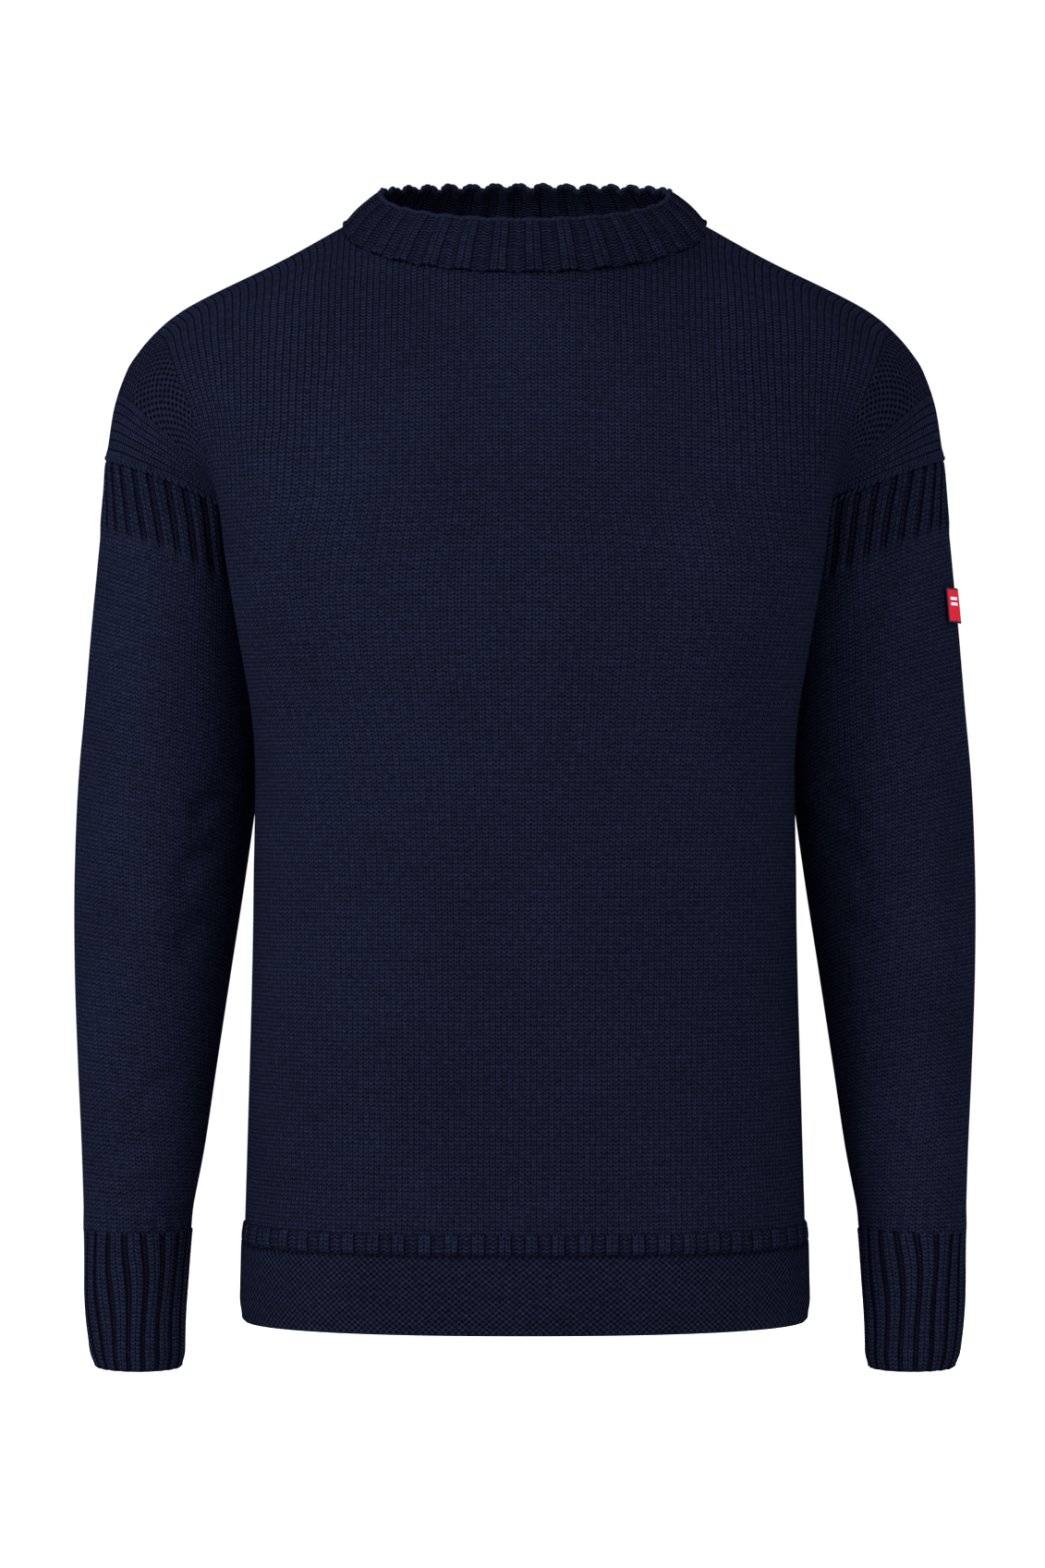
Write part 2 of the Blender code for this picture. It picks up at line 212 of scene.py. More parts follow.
class StageSettings(PropertyGroup):
    distance: FloatProperty(name="Distance", description="Camera to garment", default=3.5, unit="LENGTH")
    lens: FloatProperty(name="Lens", description="Focal length in millimetres", default=129.1)
    eye: FloatProperty(name="Eye", description="Height of the camera", default=-0.347, unit="LENGTH")
    floor: FloatProperty(name="Floor", description="Height of the floor", default=-0.95, unit="LENGTH")


SETTINGS = {
    "sweater_wool": WoolSettings,
    "sweater_trim": TrimSettings,
    "sweater_label": LabelSettings,
    "sweater_stage": StageSettings,
}


# ---- shape -------------------------------------------------------------------------------------


def unit(ways):
    return ways / np.maximum(np.linalg.norm(ways, axis=-1, keepdims=True), 1e-12)


def smooth_step(x):
    x = np.clip(x, 0, 1)
    return x * x * (3 - 2 * x)


def through(known, values, at):
    """A smooth curve through the known values, read at other places."""
    order = np.argsort(known)
    known, values = known[order], values[order]
    slopes = np.gradient(values, known)
    at = np.clip(at, known[0], known[-1])
    i = np.clip(np.searchsorted(known, at) - 1, 0, len(known) - 2)
    span = known[i + 1] - known[i]
    t = (at - known[i]) / span
    return (
        (1 + 2 * t) * (1 - t) ** 2 * values[i]
        + t * (1 - t) ** 2 * span * slopes[i]
        + t * t * (3 - 2 * t) * values[i + 1]
        + t * t * (t - 1) * span * slopes[i + 1]
    )


def read(table, name, at):
    return through(table["height"], table[name], at)


def point(x, y, z):
    return np.stack(np.broadcast_arrays(x, y, z), axis=-1).astype(float)


def along_line(line, shares):
    steps = np.linalg.norm(np.diff(line, axis=0), axis=1)
    length = np.concatenate([[0], np.cumsum(steps)])
    return np.stack([np.interp(shares * length[-1], length, line[:, k]) for k in range(3)], axis=-1)


def torso_half(height, back, shares):
    """Half of one panel's level section, from its centre line to the side seam."""
    row = {name: float(read(TORSO, name, height)) for name in TORSO_COLUMNS[1:]}
    angle = np.linspace(0, math.pi, 400)
    behind = angle > math.pi / 2
    power = 2 / np.where(behind, BACK_SQUARENESS, FRONT_SQUARENESS)
    depth = np.where(behind, row["back"] - row["widest"], row["widest"] - row["front"])
    x = row["half_width"] * np.sin(angle) ** power
    y = row["widest"] - np.sign(np.cos(angle)) * depth * np.abs(np.cos(angle)) ** power
    x = x - row["hollow"] * np.exp(-(((y - row["seam"] + HOLLOW_AHEAD) / HOLLOW_REACH) ** 2))
    x[[0, -1]] = 0
    side = np.interp(row["seam"], y, np.arange(len(y)))
    section = point(x, y, height)
    seam = section[int(side)] + (side % 1) * (section[int(side) + 1] - section[int(side)])
    own = section[::-1][: len(section) - int(side) - 1] if back else section[: int(side) + 1]
    return along_line(np.vstack([own, seam]), shares)


def arm_point(angle, height):
    """A point of the sleeve. The angle is 0 at the outer side and grows towards the front."""
    across = read(ARM, "across", height) + read(ARM, "half_width", height) * np.cos(angle)
    along = read(ARM, "along", height) - read(ARM, "half_depth", height) * np.sin(angle)
    return point(across, along, height)


def armhole_height(angle):
    return SHOULDER_TIP + (ARMPIT - SHOULDER_TIP) * (np.abs(angle) / math.pi) ** ARMHOLE_DIP


def armhole(angle):
    return arm_point(angle, armhole_height(angle))


def collar_ring(ring, angle):
    """A closed ring round the neck. The angle is 0 at the front and 180 degrees at the back."""
    row = dict(zip(RING_COLUMNS, ring))
    front = np.cos(angle) > 0
    reach = np.where(front, row["front"], row["back"])
    drop = np.where(front, row["front_height"], row["back_height"]) - row["side_height"]
    return point(
        row["half_width"] * np.sin(angle),
        reach * np.abs(np.cos(angle)),
        row["side_height"] + drop * np.abs(np.cos(angle)) ** NECK_SLOPE,
    )


def top_edge(back, shares):
    """The upper edge of half a panel: a quarter of the collar, then the shoulder line."""
    quarter = np.linspace(math.pi, math.pi / 2, 60) if back else np.linspace(0, math.pi / 2, 60)
    neck = along_line(collar_ring(COLLAR_RINGS[0], quarter), np.clip(shares / NECK_SHARE, 0, 1))
    count = np.arange(len(SHOULDER_LINE), dtype=float)
    fine = np.linspace(0, count[-1], 200)
    line = np.stack([through(count, SHOULDER[name], fine) for name in SHOULDER_COLUMNS], axis=-1)
    shoulder = along_line(line, np.clip((shares - NECK_SHARE) / (1 - NECK_SHARE), 0, 1))
    return np.where((shares <= NECK_SHARE)[:, None], neck, shoulder)


def yoke_half(back, shares, rises):
    """Half of a panel above the armpit."""
    turn = -1.0 if back else 1.0
    step = 0.004
    start = torso_half(ARMPIT, back, shares)
    start_way = torso_half(ARMPIT + step, back, shares) - torso_half(ARMPIT - step, back, shares)
    end = top_edge(back, shares)
    beside = np.clip(shares / NECK_SHARE, 0, 1)
    end_way = point(0.0, turn * (0.45 + 0.55 * beside), 0.9 * (1 - beside))
    reach = np.linalg.norm(end - start, axis=-1, keepdims=True)
    start_way, end_way = start_way / (2 * step) * reach, unit(end_way) * reach
    t = rises[:, None, None]
    cloth = (
        (1 + 2 * t) * (1 - t) ** 2 * start
        + t * (1 - t) ** 2 * start_way
        + t * t * (3 - 2 * t) * end
        + t * t * (t - 1) * end_way
    )
    edge = armhole(turn * math.pi * (1 - rises))
    first = (PULL_LOW + (PULL_HIGH - PULL_LOW) * smooth_step(4 * rises))[:, None]
    pull = smooth_step((shares - first) / (1 - first))
    return cloth + (edge - cloth[:, -1])[:, None] * pull[..., None]


def evened(panel, shares):
    """The panel with an even bend above the armpit, its edges and its turn towards the armhole kept."""
    across = np.concatenate([shares[:0:-1], shares])
    up = np.clip(np.arange(len(panel)) - BODY_ROWS, 0, 3) / 3
    ease = 0.4 * up[:, None] * smooth_step((EVEN_END - across) / (EVEN_END - EVEN_START))
    for _ in range(EVEN_ROUNDS):
        bend = panel
        for _ in range(2):
            sides = bend[:-2, 1:-1] + bend[2:, 1:-1] + bend[1:-1, :-2] + bend[1:-1, 2:]
            bend = np.pad(sides / 4 - bend[1:-1, 1:-1], ((1, 1), (1, 1), (0, 0)))
        panel = panel - ease[..., None] * bend
    return panel


def resampled(grid, knots, places, axis):
    """A grid of points read smoothly at other places along one axis."""
    grid = np.moveaxis(grid, axis, 0)
    slopes = np.gradient(grid, knots, axis=0, edge_order=2)
    i = np.clip(np.searchsorted(knots, places) - 1, 0, len(knots) - 2)
    span = (knots[i + 1] - knots[i])[:, None, None]
    t = (places - knots[i])[:, None, None] / span
    fine = (
        (1 + 2 * t) * (1 - t) ** 2 * grid[i]
        + t * (1 - t) ** 2 * span * slopes[i]
        + t * t * (3 - 2 * t) * grid[i + 1]
        + t * t * (t - 1) * span * slopes[i + 1]
    )
    return np.moveaxis(fine, 0, axis)


def outward(grid, ring=False):
    """Unit normals of a grid whose rows go up and whose columns go anticlockwise, seen from above."""
    if ring:
        padded = np.concatenate([grid[:, -1:], grid, grid[:, :1]], axis=1)
        across = padded[:, 2:] - padded[:, :-2]
    else:
        across = np.gradient(grid, axis=1, edge_order=2)
    return unit(np.cross(across, np.gradient(grid, axis=0, edge_order=2)))


def ribbed(u, share):
    """The relief of a rib across its wales, from -1 in the purl pair to 1 on the plain pair."""
    across = np.abs((u / 4 + 0.25) % 1 - 0.5) * 2 / share
    return 1 - 2 * smooth_step((across - 0.55) / 0.9)


def folded(grid, normals, folds, side=1):
    """How far each point of a piece's front moves out of its plain form, by the table of folds."""
    out = np.zeros(grid.shape[:2])
    x, z = grid[..., 0] * side, grid[..., 2]
    for row in folds:
        fold = dict(zip(FOLD_COLUMNS, row))
        start = np.array([fold["x0"], fold["z0"]])
        way = np.array([fold["x1"], fold["z1"]]) - start
        length = np.linalg.norm(way)
        way = way / length
        t = ((x - start[0]) * way[0] + (z - start[1]) * way[1]) / length
        bow = 0.12 * length * np.sin(math.pi * np.clip(t, 0, 1))
        off = -(x - start[0]) * way[1] + (z - start[1]) * way[0] - bow
        fade = np.exp(-((np.clip(np.abs(t - 0.5) - 0.28, 0, None) / 0.2) ** 2))
        out -= fold["depth"] * np.exp(-((off / fold["width"]) ** 2)) * fade
    return out * smooth_step(-normals[..., 1] / 0.35)


# ---- meshes ------------------------------------------------------------------------------------


def cloth_mesh(name, outer, normals, stitches, thickness, material, ring=False):
    """A wall of cloth with rounded edges, and its stitch counts as a map."""
    rows, count = outer.shape[:2]
    inner = outer - thickness * normals
    middle = (outer + inner) / 2
    bulge = 0.5 * thickness
    below = unit(middle[0] - middle[1]) * bulge + middle[0]
    above = unit(middle[-1] - middle[-2]) * bulge + middle[-1]
    loops = np.concatenate([outer, above[None], inner[::-1], below[None]])
    counts = np.concatenate([stitches, stitches[-1:], stitches[::-1], stitches[:1]])
    total = len(loops)
    place = np.arange(total * count).reshape(total, count)
    places = np.concatenate([place, place[:1]])
    if ring:
        places = np.concatenate([places, places[:, :1]], axis=1)
        seam = 2 * counts[:, -1:] - counts[:, -2:-1]
        counts = np.concatenate([counts, seam], axis=1)
    counts = np.concatenate([counts, counts[:1]])
    corner = lambda table: np.stack([table[:-1, :-1], table[:-1, 1:], table[1:, 1:], table[1:, :-1]], axis=2)
    faces = corner(places).reshape(-1, 4)
    uvs = corner(counts).reshape(-1, 2)
    points = loops.reshape(-1, 3)
    if not ring:
        ends = []
        for column, turn in ((0, 1), (count - 1, -1)):
            ends.append((column, turn))
        mid = np.arange(rows)
        sides = [unit(middle[:, c] - middle[:, c + step]) * bulge + middle[:, c] for c, step in ((0, 1), (-1, -1))]
        base = len(points)
        points = np.concatenate([points, *sides])
        extra, extra_uvs = [], []
        for k, (column, turn) in enumerate(ends):
            edge = base + k * rows + mid
            out_line = place[:rows, column]
            in_line = place[rows + 1 : 2 * rows + 1, column][::-1]
            caps = [
                np.stack([edge[:-1], out_line[:-1], out_line[1:], edge[1:]], axis=-1),
                np.stack([in_line[:-1], edge[:-1], edge[1:], in_line[1:]], axis=-1),
            ]
            tops = np.array([[place[rows, column], in_line[-1], edge[-1], out_line[-1]]])
            bottoms = np.array([[place[2 * rows + 1, column], out_line[0], edge[0], in_line[0]]])
            both = np.concatenate([*caps, tops, bottoms])
            extra.append(both if turn > 0 else both[:, ::-1])
            line = stitches[:, column]
            wide = np.concatenate([np.stack([line[:-1], line[:-1], line[1:], line[1:]], axis=1)] * 2)
            tips = np.stack([np.repeat(line[-1:], 4, axis=0), np.repeat(line[:1], 4, axis=0)])
            both = np.concatenate([wide, tips])
            extra_uvs.append((both if turn > 0 else both[:, ::-1]).reshape(-1, 2))
        faces = np.concatenate([faces, *extra])
        uvs = np.concatenate([uvs, *extra_uvs])
    return mesh_piece(name, points, faces, uvs, material)


def mesh_piece(name, points, faces, uvs, material):
    mesh = bpy.data.meshes.new(name)
    mesh.vertices.add(len(points))
    mesh.vertices.foreach_set("co", points.astype(np.float32).ravel())
    mesh.loops.add(faces.size)
    mesh.loops.foreach_set("vertex_index", faces.astype(np.int32).ravel())
    mesh.polygons.add(len(faces))
    mesh.polygons.foreach_set("loop_start", np.arange(0, faces.size, 4, dtype=np.int32))
    mesh.update(calc_edges=True)
    mesh.polygons.foreach_set("use_smooth", np.ones(len(faces), bool))
    layer = mesh.uv_layers.new(name="Stitches")
    layer.uv.foreach_set("vector", uvs.astype(np.float32).ravel())
    mesh.materials.append(material)
    made = bpy.data.objects.new(name, mesh)
    bpy.context.scene.collection.objects.link(made)
    return made


def path_mesh(name, points, facing, closed=True):
    """A line of points that beads of yarn follow, with the way each bead faces."""
    count = len(points)
    ends = [(i, (i + 1) % count) for i in range(count if closed else count - 1)]
    mesh = bpy.data.meshes.new(name)
    mesh.from_pydata(points.tolist(), ends, [])
    way = mesh.attributes.new("facing", "FLOAT_VECTOR", "POINT")
    way.data.foreach_set("vector", facing.astype(np.float32).ravel())
    made = bpy.data.objects.new(name, mesh)
    bpy.context.scene.collection.objects.link(made)
    return made


def yarn_tree():
    """Beads of yarn along a line, each leaning a little, so that they read as a row of sewn stitches."""
    tree = bpy.data.node_groups.new("Yarn beads", "GeometryNodeTree")
    face = tree.interface
    face.new_socket("Geometry", in_out="INPUT", socket_type="NodeSocketGeometry")
    for name, default in (("Pitch", 0.0045), ("Length", 0.0032), ("Width", 0.0015), ("Lean", 0.5)):
        socket = face.new_socket(name, in_out="INPUT", socket_type="NodeSocketFloat")
        socket.default_value = default
    face.new_socket("Material", in_out="INPUT", socket_type="NodeSocketMaterial")
    face.new_socket("Geometry", in_out="OUTPUT", socket_type="NodeSocketGeometry")
    make = Nodes(tree)
    given = make.node("NodeGroupInput")
    curve = make.node("GeometryNodeMeshToCurve", {}, {"Mesh": given["Geometry"]})
    evenly = make.node(
        "GeometryNodeResampleCurve", {"mode": "LENGTH"}, {"Curve": curve["Curve"], "Length": given["Pitch"]}
    )
    facing = make.node("GeometryNodeInputNamedAttribute", {"data_type": "FLOAT_VECTOR"}, {"Name": "facing"})
    tangent = make.node("GeometryNodeInputTangent")
    along = make.node(
        "FunctionNodeAlignRotationToVector", {"axis": "X"}, {"Vector": tangent["Tangent"]}
    )
    out = make.node(
        "FunctionNodeAlignRotationToVector",
        {"axis": "Z", "pivot_axis": "X"},
        {"Rotation": along["Rotation"], "Vector": facing["Attribute"]},
    )
    lean = make.node("ShaderNodeCombineXYZ", {}, {"Z": given["Lean"]})
    turned = make.node(
        "FunctionNodeRotateRotation",
        {"rotation_space": "LOCAL"},
        {"Rotation": out["Rotation"], "Rotate By": lean["Vector"]},
    )
    bead = make.node("GeometryNodeMeshIcoSphere", {}, {"Radius": 1.0, "Subdivisions": 2})
    size = make.node("ShaderNodeCombineXYZ", {}, {"X": given["Length"], "Y": given["Width"], "Z": given["Width"]})
    beads = make.node(
        "GeometryNodeInstanceOnPoints",
        {},
        {
            "Points": evenly["Curve"],
            "Instance": bead["Mesh"],
            "Rotation": turned["Rotation"],
            "Scale": size["Vector"],
        },
    )
    real = make.node("GeometryNodeRealizeInstances", {}, {"Geometry": beads["Instances"]})
    smooth = make.node("GeometryNodeSetShadeSmooth", {}, {"Geometry": real["Geometry"]})
    coloured = make.node(
        "GeometryNodeSetMaterial", {}, {"Geometry": smooth["Geometry"], "Material": given["Material"]}
    )
    make.node("NodeGroupOutput", {}, {"Geometry": coloured["Geometry"]})
    return tree


def beaded(name, points, facing, sizes, material, closed=True):
    """Turns a line into a plain mesh of beads of yarn."""
    line = path_mesh(name, points, facing, closed)
    tree = bpy.data.node_groups.get("Yarn beads") or yarn_tree()
    modifier = line.modifiers.new("Beads", "NODES")
    modifier.node_group = tree
    for item in tree.interface.items_tree:
        if item.in_out == "INPUT" and item.name in sizes:
            modifier[item.identifier] = sizes[item.name]
        if item.in_out == "INPUT" and item.name == "Material":
            modifier[item.identifier] = material
    bpy.context.view_layer.update()
    graph = bpy.context.evaluated_depsgraph_get()
    mesh = bpy.data.meshes.new_from_object(line.evaluated_get(graph))
    bpy.data.objects.remove(line)
    mesh.name = name
    made = bpy.data.objects.new(name, mesh)
    bpy.context.scene.collection.objects.link(made)
    if not len(mesh.polygons):
        raise RuntimeError(f"{name} made no beads")
    return made


# ---- materials ---------------------------------------------------------------------------------


class Nodes:
    """Adds nodes to one tree, by type, settings and inputs."""

    def __init__(self, tree):
        self.tree = tree

    def node(self, kind, settings=None, inputs=None):
        made = self.tree.nodes.new(kind)
        for name, value in (settings or {}).items():
            if name == "stops":
                ramp = made.color_ramp.elements
                while len(ramp) < len(value):
                    ramp.new(0.5)
                for stop, (place, colour) in zip(ramp, value):
                    stop.position, stop.color = place, (*colour, 1.0)
            else:
                setattr(made, name, value)
        for name, value in (inputs or {}).items():
            socket = made.inputs[name]
            if isinstance(value, Value):
                value = value.socket
            if isinstance(value, bpy.types.NodeSocket):
                self.tree.links.new(value, socket)
            elif hasattr(value, "__len__") and not isinstance(value, str) and len(value) == 3:
                socket.default_value = (*value, 1.0) if socket.type == "RGBA" else tuple(value)
            else:
                socket.default_value = value
        return made.outputs

    def value(self, outputs, name=0):
        return Value(self, outputs[name])


class Value:
    """A number that varies over a surface. Sums on it add Math nodes."""

    def __init__(self, nodes, socket):
        self.nodes, self.socket = nodes, socket

    def _math(self, operation, *others):
        outputs = self.nodes.node("ShaderNodeMath", {"operation": operation}, dict(enumerate((self, *others))))
        return Value(self.nodes, outputs[0])

    def __add__(self, other):
        return self._math("ADD", other)

    def __mul__(self, other):
        return self._math("MULTIPLY", other)

    def __sub__(self, other):
        return self._math("SUBTRACT", other)

    def __rsub__(self, other):
        return self._math("MULTIPLY", -1.0) + other

    def __truediv__(self, other):
        return self._math("DIVIDE", other)

    def __pow__(self, other):
        return self._math("POWER", other)

    __radd__, __rmul__ = __add__, __mul__

    def sine(self):
        return self._math("SINE")

    def size(self):
        return self._math("ABSOLUTE")

    def part(self):
        return self._math("FRACT")

    def whole(self):
        return self._math("FLOOR")

    def least(self, other):
        return self._math("MINIMUM", other)

    def most(self, other):
        return self._math("MAXIMUM", other)

    def step(self, low, high):
        """0 below low and 1 above high, smooth between."""
        ranged = self.nodes.node(
            "ShaderNodeMapRange",
            {"interpolation_type": "SMOOTHSTEP", "clamp": True},
            {"Value": self, "From Min": low, "From Max": high, "To Min": 0.0, "To Max": 1.0},
        )
        return Value(self.nodes, ranged[0])


def blend(a, b, share):
    return a + (b - a) * share


def plain_knit(u, v, apart=0.5):
    """Columns of V stitches that stand this far apart. u counts wales, v counts courses."""
    across = ((u.part() * 2.0) - 1.0).size()
    leg = ((v - across * 0.55) * math.pi).sine().size()
    wale = 1.0 - across**5.0 * apart
    centre = 1.0 - (1.0 - across.least(0.25) * 4.0) * 0.35
    return (leg * 0.72 + 0.28) * wale * centre


def purl_knit(u, v):
    """Rows of small arcs, as the back of the plain knit shows."""
    waved = v + (u * 2.0 * math.pi).sine() * 0.22
    row = (waved * math.pi).sine().size()
    return (row * 0.75 + 0.1) * ((u * 2.0 * math.pi + 1.2).sine() * 0.15 + 0.85)


def moss_knit(u, v):
    """Bumps and dark holes by turns, as on a draughtboard."""
    turns = (u * (2.0 * math.pi)).sine() * (v * (2.0 * math.pi)).sine()
    return turns * 0.5 + 0.5


def open_moss_knit(u, v):
    """Moss stitch pulled open, so that small dark holes show by turns."""
    turns = (u * (2.0 * math.pi)).sine() * (v * (2.0 * math.pi)).sine()
    return (turns * 1.7 + 1.1).most(0.0).least(1.0)


def rib_knit(u, v, share, sunk=0.62, parted=0.8):
    """Pairs of plain wales that take this share of the rib, and purl wales that sink between them."""
    turn = (u * 0.25 + 0.25).part() - 0.5
    across = turn.size() * (2.0 / share)
    raised = 1.0 - across.step(0.90, 1.10)
    # The groove is painted shade as well as relief: the heights, and so the colour, dip where the plain and purl wales
    # meet.
    groove = 1.0 - (1.0 - ((across - 1.0) * 4.0).size()).most(0.0) * parted
    return blend(purl_knit(u, v) * sunk, plain_knit(turn * (2.0 / share), v, 0.8), raised) * groove


def knit_material(name, pattern):
    """Wool whose stitches the pattern gives as heights from 0 to 1. The heights set the bumps and also paint shade: low
    places and holes take the dark shade colour.
    """
    wool = bpy.context.scene.sweater_wool
    material = bpy.data.materials.new(name)
    material.use_nodes = True
    material.node_tree.nodes.clear()
    make = Nodes(material.node_tree)
    stitches = make.node("ShaderNodeUVMap", {"uv_map": "Stitches"})["UV"]
    apart = make.node("ShaderNodeSeparateXYZ", {}, {"Vector": stitches})
    place = make.node("ShaderNodeTexCoord")["Object"]
    wander = make.node("ShaderNodeTexNoise", {}, {"Vector": place, "Scale": 38.0, "Detail": 2.0, "Roughness": 0.5})
    drift = make.value(wander, "Fac") - 0.5
    u, v = make.value(apart, "X") + drift * 0.35, make.value(apart, "Y") + drift * 0.5
    height = pattern(u, v)
    fuzz = make.node("ShaderNodeTexNoise", {}, {"Vector": place, "Scale": 900.0, "Detail": 3.0, "Roughness": 0.65})
    fibres = make.value(fuzz, "Fac")
    broad = make.node("ShaderNodeTexNoise", {}, {"Vector": place, "Scale": 14.0, "Detail": 3.0, "Roughness": 0.55})
    cloudy = make.value(broad, "Fac") * 0.5 + 0.75
    uneven = make.node(
        "ShaderNodeTexNoise", {"noise_dimensions": "2D"}, {"Vector": stitches, "Scale": 1.0, "Detail": 1.0}
    )
    level = make.node("ShaderNodeCombineXYZ", {}, {"X": u * 0.14, "Y": v * 0.8})["Vector"]
    streaks = make.node("ShaderNodeTexNoise", {"noise_dimensions": "2D"}, {"Vector": level, "Scale": 1.0, "Detail": 2.0})
    pulled = make.value(uneven, "Fac") * 1.1 + make.value(streaks, "Fac") * 0.45 + 0.22
    # Painted shade mixed with real tone: low stitch heights pull the colour towards the painted shade colour, where
    # shade falls; the fibre, cloud and pull noises are the yarn's own random tone.
    painted_shade_and_tone = (height**1.25 * (fibres * 1.1 + 0.45) * cloudy * pulled).least(1.6)
    colour = make.node(
        "ShaderNodeMix",
        {"data_type": "RGBA", "clamp_factor": False},
        {"Factor": painted_shade_and_tone, 6: tuple(wool.painted_shade), 7: tuple(wool.yarn)},
    )
    relief = make.node(
        "ShaderNodeBump",
        {},
        {"Strength": 1.0, "Distance": wool.stitch_depth, "Height": height + fibres * 0.18},
    )
    shader = make.node(
        "ShaderNodeBsdfPrincipled",
        {},
        {
            "Base Color": colour[2],
            "Roughness": 0.9,
            "Specular IOR Level": 0.0,
            "Normal": relief["Normal"],
        },
    )
    make.node("ShaderNodeOutputMaterial", {}, {"Surface": shader[0]})
    return material


def body_pattern(u, v):
    from_edge = float(HALF_WALES) - u.size()
    inside = from_edge.step(EDGE_WALES - 0.15, EDGE_WALES + 0.15) * (
        1.0 - from_edge.step(EDGE_WALES + MOSS_WALES - 0.15, EDGE_WALES + MOSS_WALES + 0.15)
    )
    strip = inside * v.step(BODY_COURSES + 6.0, BODY_COURSES + 7.0)
    pull = 1.0 - (from_edge - (v - float(BODY_COURSES)) * 0.55).step(0.0, 34.0)
    yoke = v.step(BODY_COURSES - 10.0, BODY_COURSES + 25.0)
    apart = pull * yoke * 0.36 + 0.74 - v.step(20.0, 110.0) * 0.14
    return blend(plain_knit(u, v, apart), open_moss_knit(u * 0.86, v * 0.40) * 0.62, strip)


def collar_pattern(u, v):
    return rib_knit(u, v, COLLAR_SHARE, 1.05, 0.6) * 0.9


def cuff_pattern(u, v):
    return rib_knit(u, v, CUFF_SHARE) * 1.1


def sleeve_pattern(u, v):
    ribbed = rib_knit(u * (4.0 * SLEEVE_RIBS / SLEEVE_WALES), v, SLEEVE_SHARE, 0.75)
    return blend(plain_knit(u, v), ribbed, v.step(SLEEVE_COURSES - 17.5, SLEEVE_COURSES - 14.5))


def welt_pattern(u, v):
    # Painted shade: the heights, and so the colour, dip along the groove between the moss stitch and the rib band.
    line = 1.0 - (1.0 - ((v - 18.2) * 1.1).size()).most(0.0) * 0.6
    return blend(moss_knit(u, v * 0.74) * 1.1, rib_knit(u, v, WELT_SHARE, 1.0) * 1.08, v.step(18.0, 18.6)) * line


def yarn_material(name, colour):
    """Twisted yarn, for seams and cast-off edges."""
    material = bpy.data.materials.new(name)
    material.use_nodes = True
    material.node_tree.nodes.clear()
    make = Nodes(material.node_tree)
    place = make.node("ShaderNodeTexCoord")["Object"]
    fuzz = make.node("ShaderNodeTexNoise", {}, {"Vector": place, "Scale": 1100.0, "Detail": 3.0, "Roughness": 0.6})
    fibres = make.value(fuzz, "Fac")
    dark = tuple(0.35 * c for c in colour)
    mixed = make.node("ShaderNodeMix", {"data_type": "RGBA"}, {"Factor": fibres, 6: dark, 7: colour})
    relief = make.node("ShaderNodeBump", {}, {"Strength": 0.7, "Distance": 0.0004, "Height": fibres})
    shader = make.node(
        "ShaderNodeBsdfPrincipled",
        {},
        {
            "Base Color": mixed[2],
            "Roughness": 0.9,
            "Specular IOR Level": 0.0,
            "Normal": relief["Normal"],
        },
    )
    make.node("ShaderNodeOutputMaterial", {}, {"Surface": shader[0]})
    return material


def label_material():
    """A red woven ground with two pale bars, a blue line between them and a dark rim, in an unmarked design."""
    settings = bpy.context.scene.sweater_label
    material = bpy.data.materials.new("Woven label")
    material.use_nodes = True
    material.node_tree.nodes.clear()
    make = Nodes(material.node_tree)
    woven = make.node("ShaderNodeUVMap", {"uv_map": "Stitches"})["UV"]
    apart = make.node("ShaderNodeSeparateXYZ", {}, {"Vector": woven})
    u, v = make.value(apart, "X"), make.value(apart, "Y")
    rows = (1.0 - (v - 0.70).size().step(0.035, 0.05)).most(1.0 - (v - 0.54).size().step(0.035, 0.05))
    band = rows * (1.0 - (u - 0.30).size().step(0.17, 0.19))
    inner = (1.0 - (v - 0.62).size().step(0.01, 0.02)) * (1.0 - (u - 0.30).size().step(0.17, 0.19))
    edge = (1.0 - u.least(1.0 - u).step(0.012, 0.024)).most(1.0 - v.least(1.0 - v).step(0.025, 0.045))
    pale = make.node(
        "ShaderNodeMix", {"data_type": "RGBA"}, {"Factor": band, 6: tuple(settings.ground), 7: (0.70, 0.62, 0.70)}
    )
    blue = make.node("ShaderNodeMix", {"data_type": "RGBA"}, {"Factor": inner, 6: pale[2], 7: (0.010, 0.020, 0.090)})
    rimmed = make.node("ShaderNodeMix", {"data_type": "RGBA"}, {"Factor": edge, 6: blue[2], 7: (0.012, 0.014, 0.030)})
    threads = ((u * 380.0).sine() * 0.5 + 0.5) * ((v * 260.0).sine() * 0.5 + 0.5)
    relief = make.node("ShaderNodeBump", {}, {"Strength": 0.6, "Distance": 0.0002, "Height": threads})
    shader = make.node(
        "ShaderNodeBsdfPrincipled",
        {},
        {"Base Color": rimmed[2], "Roughness": 0.9, "Specular IOR Level": 0.0, "Normal": relief["Normal"]},
    )
    make.node("ShaderNodeOutputMaterial", {}, {"Surface": shader[0]})
    return material


def wool_material(name, pattern):
    return bpy.data.materials.get(name) or knit_material(name, pattern)


def seam_yarn():
    wool = bpy.context.scene.sweater_wool
    return bpy.data.materials.get("Seam yarn") or yarn_material("Seam yarn", tuple(wool.yarn))


# ---- pieces ------------------------------------------------------------------------------------


def neck_quarters(count):
    """Shares of length along a quarter of the collar."""
    return np.linspace(0, 1, count + 1)


def whole(half, back):
    """A half panel and its mirror image, joined at the centre line, anticlockwise seen from above."""
    panel = np.concatenate([half[:, :0:-1] * [-1, 1, 1], half], axis=1)
    return panel[:, ::-1] if back else panel


